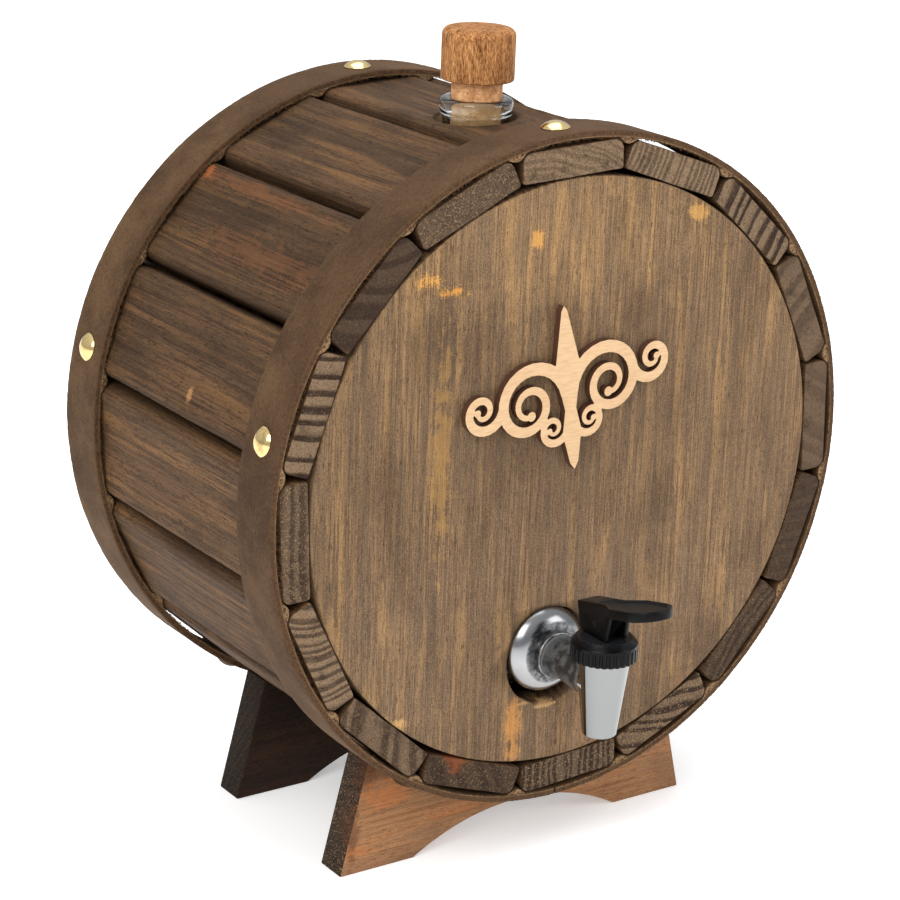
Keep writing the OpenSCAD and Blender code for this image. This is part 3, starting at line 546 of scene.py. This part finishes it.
for name, near, seed in (("front_hoop", 0.0, 21),
                         ("rear_hoop", barrel_length - strap_wide, 34)):
    bm = bmesh.new()
    bmesh.ops.create_grid(bm, x_segments=1, y_segments=1, size=0.5)
    bmesh.ops.scale(bm, vec=(strap_thick, strap_wide, 1), verts=bm.verts)
    bmesh.ops.bevel(bm, geom=bm.verts[:], offset=0.0006, offset_type="OFFSET", segments=3,
                    profile=0.5, affect="VERTICES", material=-1)
    cuts(bm, (0, 1, 0), [k * 0.004 for k in range(-2, 3)])
    bmesh.ops.rotate(bm, cent=(0, 0, 0), verts=bm.verts,
                     matrix=Matrix.Rotation(math.radians(90), 3, "X"))
    bmesh.ops.translate(bm, vec=(strap_inside + strap_thick / 2, 0, 0), verts=bm.verts)
    seam = strap_gap / strap_inside
    bmesh.ops.rotate(bm, cent=(0, 0, 0), verts=bm.verts,
                     matrix=Matrix.Rotation(seam / 2, 3, "Z"))
    bmesh.ops.spin(bm, geom=bm.verts[:] + bm.edges[:] + bm.faces[:], cent=(0, 0, 0),
                   axis=(0, 0, 1), angle=math.tau - seam, steps=640)
    bmesh.ops.recalc_face_normals(bm, faces=bm.faces)
    worn(bm, seed, 0.02, 0.0003, 0.002, 0.0002)
    # The hide's inner side sinks a little into the joints between the staves.
    pitch = 360 / stave_count
    for vertex in bm.verts:
        around = math.degrees(math.atan2(vertex.co.y, -vertex.co.x) - stave_turn)
        joint = abs(around % pitch - pitch / 2)
        sink = 1 - (vertex.co.xy.length - strap_inside) / 0.0015
        if sink > 0 and joint < joint_reach:
            vertex.co.xy *= 1 - joint_sink / strap_inside * sink * math.cos(
                joint * math.pi / (2 * joint_reach))
    # Loose fibres along the cut front edge: thin tapered hairs, three in four of them
    # on the inner rim, where they lean in over the staves.
    hairs = random.Random(seed)
    smooth_count = len(bm.verts)
    for k in range(hair_count):
        turn = hairs.uniform(seam, math.tau - seam)
        rim = strap_inside + hairs.choice((0.0002, 0.0003, 0.0004, strap_thick - 0.0003))
        root = Vector((rim * math.cos(turn), rim * math.sin(turn), strap_wide / 2 - 0.0003))
        inner = rim < strap_inside + 0.001
        inwards = Vector((-math.cos(turn), -math.sin(turn), 0))
        round_way = Vector((-math.sin(turn), math.cos(turn), 0))
        way = (Vector((0, 0, hairs.uniform(0.1, 0.6)))
               + inwards * hairs.uniform(0.0, 1.0) * (1 if inner else 0.0)
               + round_way * hairs.uniform(-1.2, 1.2)).normalized()
        side = way.cross(Vector((0, 0, 1))).normalized() * hairs.uniform(0.0001, 0.0002)
        long = hairs.uniform(0.0007, 0.0017) * (1 if inner else 0.4)
        corners = [bm.verts.new(point) for point in (
            root + side, root - side, root + Vector((0, 0, side.length * 1.6)),
            root + way * long)]
        for face in ((0, 1, 3), (1, 2, 3), (2, 0, 3), (0, 2, 1)):
            bm.faces.new([corners[corner] for corner in face])
    bm.verts.index_update()
    bmesh.ops.transform(bm, verts=bm.verts, matrix=Matrix.Translation(
        (0, barrel_front + near + strap_wide / 2, barrel_axis)) @ Matrix.Rotation(
        math.radians(90), 4, "Y") @ Matrix.Rotation(math.radians(90), 4, "X"))
    strap = shown(f"{name}_strap", bm, hide_finish, 50)
    # Every other hair is paler, four points to a hair.
    fuzz = strap.data.attributes.new("fuzz", "FLOAT", "POINT")
    for k in range(smooth_count, len(strap.data.vertices)):
        fuzz.data[k].value = 1.0 if k % 8 > 3 else 0.45
    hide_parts(name)
    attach(strap, "cask")

# Tacks: five domed brass upholstery tacks in each strap, lightly hazed. The low ones
# under the barrel are painted a dull dark brown, as painted shade.
tack_radius = 0.0055
tack_rise = 0.0024
tack_turn = math.radians(74)
brass = Finish("tack_brass")
brass_spot = brass.spot()
brass_haze = brass.cloud(brass_spot, 300, 3, 0.6)
# The low tacks are painted dull dark brown and made rougher: painted shade under the
# barrel.
brass_shaded_under = brass.axes(brass_spot).out("Z").fade(0.09, 0.06)
brass_face = brass.mixed(brass_haze.fade(0.5, 0.75) * 0.6, tone(220, 194, 134),
                         tone(156, 124, 70))
tack_brass = brass.surface({
    "Base Color": brass.mixed(brass_shaded_under, brass_face, tone(78, 60, 40)),
    "Metallic": 1.0,
    "Roughness": 0.08 + brass_haze * 0.1 + brass_shaded_under * 0.4,
    "Normal": brass.relief(brass_haze, 0.00006)})


def arc(middle_r, middle_z, radius, start, end, steps):
    """Points of a profile along an arc, its angles in degrees from outward."""
    return [(middle_r + radius * math.cos(math.radians(start + (end - start) * k / steps)),
             middle_z + radius * math.sin(math.radians(start + (end - start) * k / steps)))
            for k in range(steps + 1)]


def turned(profile, place, steps=96):
    """A lathe shape: the profile of (radius, height) points spun round the height."""
    bm = bmesh.new()
    points = [bm.verts.new((radius, 0, height)) for radius, height in profile]
    lines = [bm.edges.new(pair) for pair in zip(points, points[1:])]
    bmesh.ops.spin(bm, geom=points + lines, cent=(0, 0, 0), axis=(0, 0, 1), angle=math.tau,
                   steps=steps, use_merge=True)
    bmesh.ops.remove_doubles(bm, verts=bm.verts, dist=1e-6)
    bmesh.ops.recalc_face_normals(bm, faces=bm.faces)
    bmesh.ops.transform(bm, matrix=place, verts=bm.verts)
    return bm


tack_ball = (tack_radius ** 2 + tack_rise ** 2) / (2 * tack_rise)
tack_sweep = math.degrees(math.asin(tack_radius / tack_ball))
for name, near in (("front_hoop_tacks", 0.012), ("rear_hoop_tacks", barrel_length - 0.012)):
    bm = bmesh.new()
    for k in range(5):
        one = turned([(0, -0.012), (0.0002, -0.012), (0.0008, -0.0095), (0.0008, 0),
                      (0.0053, 0)] + arc(0, tack_rise - tack_ball, tack_ball,
                                         90 - tack_sweep, 90, 12),
                     Matrix.Translation((0, barrel_front + near, barrel_axis))
                     @ Matrix.Rotation(stave_turn - k * tack_turn, 4, "Y")
                     @ Matrix.Translation((0, 0, strap_inside + strap_thick)), 48)
        single = bpy.data.meshes.new("tack")
        one.to_mesh(single)
        one.free()
        bm.from_mesh(single)
        bpy.data.meshes.remove(single)
    tacks = shown(f"{name}_brass", bm, tack_brass, 40)
    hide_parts(name)
    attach(tacks, "cask")


# Stands: two boards sawn to a cradle above and an arch below, each held by two
# steel screws through the bottom staves. The front one is a redder brown, with some
# painted shade near its top; the rear one is painted much darker, as painted shade under
# the barrel.
def dressed(name, node, material, edge=0.0):
    """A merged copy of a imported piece, with its sharp edges eased by that much."""
    sharp = 30
    bm = bmesh.new()
    bm.from_mesh(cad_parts[node].data)
    bmesh.ops.remove_doubles(bm, verts=bm.verts, dist=2e-6)
    bmesh.ops.dissolve_limit(bm, angle_limit=math.radians(0.5), verts=bm.verts,
                             edges=bm.edges)
    if edge:
        rounded(bm, [e for e in bm.edges if len(e.link_faces) == 2
                     and e.calc_face_angle(0) > math.radians(sharp)], edge, 2)
    piece = shown(name, bm, material, sharp)
    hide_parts(node)
    return piece


def recoloured(node, material):
    """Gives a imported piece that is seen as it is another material."""
    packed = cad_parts[node].data.materials
    packed.clear()
    packed.append(material)


stand_woods = {
    "front_stand": timber("front_stand_wood", tone(162, 118, 82), tone(104, 70, 47),
                          tone(180, 112, 68), tone(132, 100, 74), tone(70, 54, 41),
                          tone(36, 27, 21), tone(168, 138, 102), along="X", ring_face=0.15,
                          lined=0.3, banded=0.6, run=3.0, marks=(
        # The three dark marks near the top left and down the left end are partly a burnt
        # dark stain and partly painted shade under the barrel.
        ((-0.0720, -0.0205, 0.0440), (0.013, 0.01, 0.010), tone(72, 44, 28), 0.7),
        ((-0.0560, -0.0205, 0.0430), (0.010, 0.01, 0.005), tone(84, 52, 34), 0.6),
        ((-0.0640, -0.0205, 0.0300), (0.012, 0.01, 0.008), tone(188, 112, 62), 0.5),
        ((-0.0780, -0.0205, 0.0200), (0.003, 0.01, 0.016), tone(86, 54, 36), 0.6))),
    # Much darker colours than the front board: painted shade under the barrel.
    "rear_stand": timber("rear_stand_wood", tone(46, 32, 22), tone(26, 19, 13),
                         tone(52, 36, 24), tone(36, 27, 20), tone(50, 38, 26),
                         tone(22, 17, 12), tone(90, 68, 48), along="X", lined=0.4, run=2.0)}
for name, seed in (("front_stand", 5), ("rear_stand", 9)):
    stand = dressed(f"{name}_board", name, stand_woods[name], 0.0007)
    # The grain runs from foot to foot, so along the grain is the part's X.
    grain(stand, Matrix.Rotation(math.radians(90), 4, "Z"), (34.0, 700.0 * seed, -30), 3.6,
          (0.5, 0.45, 0.75))
    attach(stand, "cask")
steel = Finish("screw_steel")
steel_scratch = steel.cloud(steel.spot(), 500, 2)
recoloured("stand_screws", steel.surface({
    "Base Color": steel.mixed(steel_scratch, tone(190, 182, 150), tone(150, 142, 120)),
    "Metallic": 1.0, "Roughness": 0.3 + steel_scratch * 0.2}))

# Bottle: clear blown glass, with a thick rolled lip that stands out of the top
# stave and a hole in front for the tap. It stands on a bearer of bare wood.
glass = Finish("bottle_glass")
bottle_glass = glass.surface({
    "Base Color": tone(240, 246, 244), "Roughness": 0.0, "IOR": 1.5,
    "Transmission Weight": 1.0})
bottle_profile = ([(0, 0)] + arc(0.039, 0.005, 0.005, -90, 0, 6)
                  + arc(0.016, 0.1554, 0.028, 0, 78, 14)
                  + [(0.0152, 0.1862), (0.0128, 0.1900), (0.0128, 0.2235)]
                  + arc(0.0128, 0.2247, 0.0012, -90, 0, 4)
                  + arc(0.0121, 0.2280, 0.0019, 0, 90, 6)
                  + arc(0.0108, 0.2289, 0.0010, 90, 180, 4)
                  + [(0.0098, 0.186)] + arc(0.016, 0.1554, 0.0248, 96, 0, 14)
                  + arc(0.0368, 0.009, 0.004, 0, -90, 5) + [(0, 0.005)])
bottle_base = barrel_axis - 0.0954
bottle_tap_bore = 0.01005
bottle = shown("glass_bottle_clear", turned(
    bottle_profile, Matrix.Translation((bottle_axis.x, bottle_axis.y, bottle_base)), 128),
    bottle_glass, 35)
drilled(bottle, (bottle_axis.x, bottle_axis.y - 0.044, tap_height), (0, 1, 0),
        bottle_tap_bore, 0.04)
bottle.data.shade_smooth()
bottle.data.set_sharp_from_angle(angle=math.radians(35))
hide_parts("glass_bottle")
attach(bottle, "cask")
rest_wood = timber("rest_wood", tone(196, 164, 118), tone(160, 124, 84), tone(176, 136, 92),
                   tone(168, 138, 100), tone(180, 150, 108), tone(128, 98, 66),
                   tone(214, 186, 142))
rest = dressed("bottle_rest_block", "bottle_rest", rest_wood, 0.0006)
grain(rest, Matrix.Identity(4), (20.0, 0, 40))
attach(rest, "cask")

# Stopper: a turned hardwood head with a rounded top, glued on a shank of pressed
# cork that plugs the bottle's neck.
stopper_wood = Finish("stopper_wood")
stopper_spot = stopper_wood.stretched(stopper_wood.spot(), (1000, 1000, 1000))
stopper_fibre = stopper_wood.cloud(stopper_wood.stretched(stopper_spot, (2.4, 2.4, 0.4)),
                                   1.0, 4, 0.65)
stopper_streak = stopper_wood.cloud(stopper_wood.stretched(stopper_spot, (0.3, 0.3, 0.05)),
                                    1.0, 3, 0.6)
stopper_speck = stopper_wood.cloud(stopper_spot, 1.6, 3, 0.7)
stopper_colour = stopper_wood.ramp(
    stopper_fibre * 0.5 + stopper_streak * 0.3 + stopper_speck * 0.2, [
        (0.37, tone(64, 36, 18)), (0.44, tone(122, 78, 42)), (0.5, tone(160, 108, 64)),
        (0.6, tone(206, 150, 96))])
stopper_finish = stopper_wood.surface({
    "Base Color": stopper_colour, "Roughness": 0.75, "Specular IOR Level": 0.2,
    "Normal": stopper_wood.relief(stopper_fibre * 0.6 + stopper_speck * 0.6, 0.0008)})
stopper_foot = barrel_axis + 0.1412
stopper = shown("stopper_head_turned", turned(
    [(0, 0), (0.0132, 0)] + arc(0.0132, 0.0008, 0.0008, -90, 0, 4)
    + arc(0.011, 0.0168, 0.003, 0, 90, 8) + [(0.006, 0.0198), (0, 0.0198)],
    Matrix.Translation((bottle_axis.x, bottle_axis.y, stopper_foot))), stopper_finish, 40)
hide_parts("stopper_head")
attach(stopper, "stopper")
cork = Finish("cork")
cork_spot = cork.spot()
cork_cells = cork.add("ShaderNodeTexVoronoi", {}, {"Vector": cork_spot, "Scale": 620})
cork_shade = cork.cloud(cork_spot, 420, 3, 0.6)
cork_pores = cork.cloud(cork_spot, 900, 2, 0.6)
# The end inside the glass neck is painted paler: painted light shining in through the
# glass.
cork_painted_light = cork.axes(cork_spot).out("Z").fade(barrel_axis + 0.1345,
                                                  barrel_axis + 0.1325)
cork_colour = cork.mixed(cork_shade.fade(0.35, 0.65), tone(220, 168, 118),
                         tone(186, 128, 82))
cork_colour = cork.mixed(cork_pores.fade(0.62, 0.72), cork_colour, tone(124, 78, 50))
cork_colour = cork.mixed(cork_painted_light * 0.5, cork_colour, tone(240, 188, 134))
cork_finish = cork.surface({
    "Base Color": cork_colour, "Roughness": 0.8,
    "Normal": cork.relief(cork_cells * 0.5 - cork_pores, 0.0003)})
shank = shown("stopper_cork_shank", turned(
    [(0, 0), (0.00835, 0), (0.00975, 0.0016), (0.00975, 0.03), (0, 0.03)],
    Matrix.Translation((bottle_axis.x, bottle_axis.y, barrel_axis + 0.1112))),
    cork_finish, 30)
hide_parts("stopper_cork")
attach(shank, "stopper")

# Tap: a chromed flange and a chromed body with its spout, sealed to the bottle by
# a rubber spacer, and above it a black ring nut, valve stem and press-down lever.
rubber = Finish("spacer_rubber")
rubber_dust = rubber.cloud(rubber.spot(), 700, 3)
recoloured("tap_spacer", rubber.surface({
    "Base Color": rubber.mixed(rubber_dust, tone(44, 44, 44), tone(70, 68, 66)),
    "Roughness": 0.7, "Normal": rubber.relief(rubber_dust, 0.0001)}))
chrome = Finish("tap_chrome")
chrome_spot = chrome.spot()
chrome_haze = chrome.cloud(chrome_spot, 90, 3, 0.6)
chrome_shade_mottle = chrome.cloud(chrome_spot, 240, 3, 0.65)
chrome_axes = chrome.axes(chrome_spot)
# The casting under the nut, between the flange and the spout, is painted dark and
# mottled, and made rougher and less metallic: painted shade under the nut. The flange's
# domed middle is painted dark grey and mottled too, as painted shade.
chrome_arm = (chrome_axes.out("Y").fade(barrel_front - 0.0335, barrel_front - 0.0300)
              * chrome_axes.out("Y").fade(barrel_front - 0.0090, barrel_front - 0.0112))
chrome_spout = chrome_axes.out("Y").fade(barrel_front - 0.0300, barrel_front - 0.0335)
chrome_side = chrome_axes.out("X") - bottle_axis.x
chrome_rise = chrome_axes.out("Z") - tap_height
chrome_round = (chrome_side * chrome_side + chrome_rise * chrome_rise).root()
chrome_plate = chrome_axes.out("Y").fade(barrel_front - 0.0100, barrel_front - 0.0088)
chrome_dome = chrome_plate * chrome_round.fade(0.0127, 0.0118)
chrome_tone = chrome.mixed(chrome_haze, tone(186, 187, 188), tone(150, 151, 152))
# The spout is toned darker than the flange: painted shade on what it mirrors.
chrome_tone = chrome.mixed(chrome_spout, chrome_tone, tone(143, 145, 144))
# The upper part of the flange's plate is painted darker, as a painted darker reflection.
chrome_tone = chrome.mixed(chrome_plate * chrome_rise.fade(-0.004, 0.007) * 0.8,
                           chrome_tone, tone(112, 113, 115))
chrome_tone = chrome.mixed(chrome_dome, chrome_tone, chrome.mixed(
    chrome_shade_mottle.fade(0.4, 0.6), tone(80, 81, 82), tone(132, 133, 134)))
chrome_arm_shade = chrome.mixed(chrome_shade_mottle.fade(0.4, 0.6), tone(50, 50, 50),
                           tone(92, 92, 91))
tap_chrome = chrome.surface({
    "Base Color": chrome.mixed(chrome_arm, chrome_tone, chrome_arm_shade),
    "Metallic": 1.0 - chrome_arm * 0.7,
    "Roughness": (0.06 + chrome_haze * 0.08 + chrome_arm * 0.3 + chrome_plate * 0.12
                  + chrome_dome * 0.1),
    "Normal": chrome.relief(chrome_haze, 0.0002, 0.4)})
inlet = (Matrix.Translation((bottle_axis.x, barrel_front, tap_height))
         @ Matrix.Rotation(math.radians(90), 4, "X"))
dome_rise = 0.0048
dome_wide = 0.0075
dome_radius = (dome_wide ** 2 + dome_rise ** 2) / (2 * dome_rise)
dome_sweep = math.degrees(math.asin(dome_wide / dome_radius))
flange = shown("tap_flange_chrome", turned(
    [(0.0076, 0), (0.0168, 0), (0.017, 0.0002), (0.017, 0.0008)]
    + arc(0.0095, 0.0056 - dome_radius, dome_radius, 90 - dome_sweep, 90, 12)
    + arc(0.0087, 0.0084, 0.0008, 0, 90, 5) + [(0.0076, 0.0092), (0.0076, 0)],
    inlet, 128), tap_chrome, 35)
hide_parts("tap_flange")
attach(flange, "cask")
body = dressed("tap_body_chrome", "tap_body", tap_chrome)
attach(body, "cask")
plastic = Finish("tap_black")
plastic_spot = plastic.spot()
plastic_dust_and_sheen = plastic.cloud(plastic_spot, 1500, 2)
plastic_cloud = plastic.cloud(plastic_spot, 120, 2)
# The faces that look up are painted a lighter grey, speckled by fine noise: a painted
# sheen from the light above. The lever is duller than the nut.
plastic_top_sheen = plastic.facing().out("Z").fade(0.6, 0.95)
plastic_dull = plastic.axes(plastic_spot).out("Z").fade(barrel_axis - 0.0500,
                                                        barrel_axis - 0.0492)
plastic_face = plastic.mixed(plastic_cloud, tone(12, 12, 13), tone(20, 20, 21))
tap_black = plastic.surface({
    "Base Color": plastic.mixed(plastic_top_sheen * (0.3 + plastic_dust_and_sheen * 0.7), plastic_face,
                                tone(44, 45, 47)),
    "Roughness": 0.18 + plastic_dust_and_sheen * 0.12 + plastic_dull * 0.16,
    "Specular IOR Level": 0.12,
    "Normal": plastic.relief(plastic_dust_and_sheen, 0.00005, 0.5)})
for node, edge, home in (("tap_ring_nut", 0.0002, "cask"), ("tap_lever", 0.0005, "lever"),
                         ("tap_stem", 0.0002, "valve_stem")):
    piece = dressed(f"{node}_black", node, tap_black, edge)
    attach(piece, home)
silicone = Finish("silicone")
silicone_finish = silicone.surface({
    "Base Color": silicone.mixed(silicone.cloud(silicone.spot(), 300, 2),
                                 tone(226, 226, 220), tone(204, 204, 198)),
    "Roughness": 0.5})
for node in ("tap_gland", "tap_plug"):
    recoloured(node, silicone_finish)
pin_steel = Finish("pin_steel")
recoloured("tap_lever_pin", pin_steel.surface({
    "Base Color": pin_steel.mixed(pin_steel.cloud(pin_steel.spot(), 900, 2),
                                  tone(70, 70, 72), tone(48, 48, 50)),
    "Metallic": 1.0, "Roughness": 0.45}))

# Ornament: a scroll cut from 3 mm birch plywood by laser, so its edges are burnt
# dark, and glued to the front head.
birch = Finish("ornament_wood")
birch_spot = birch.spot()
birch_flat = abs(birch.facing().out("Y")).fade(0.5, 0.8)
birch_fibre = birch.cloud(birch.stretched(birch_spot, (180, 1400, 1400)), 1.0, 3, 0.6)
birch_bloom = birch.cloud(birch_spot, 60, 2)
birch_face = birch.mixed(birch_fibre.fade(0.35, 0.7) * 0.6, tone(202, 168, 128),
                         tone(182, 142, 100))
birch_face = birch.mixed(birch_bloom.fade(0.5, 0.8) * 0.4, birch_face, tone(184, 143, 100))
burnt = birch.mixed(birch_fibre, tone(58, 34, 22), tone(86, 54, 34))
recoloured("front_ornament", birch.surface({
    "Base Color": birch.mixed(birch_flat, burnt, birch_face),
    "Roughness": 0.65, "Normal": birch.relief(birch_fibre, 0.0001)}))
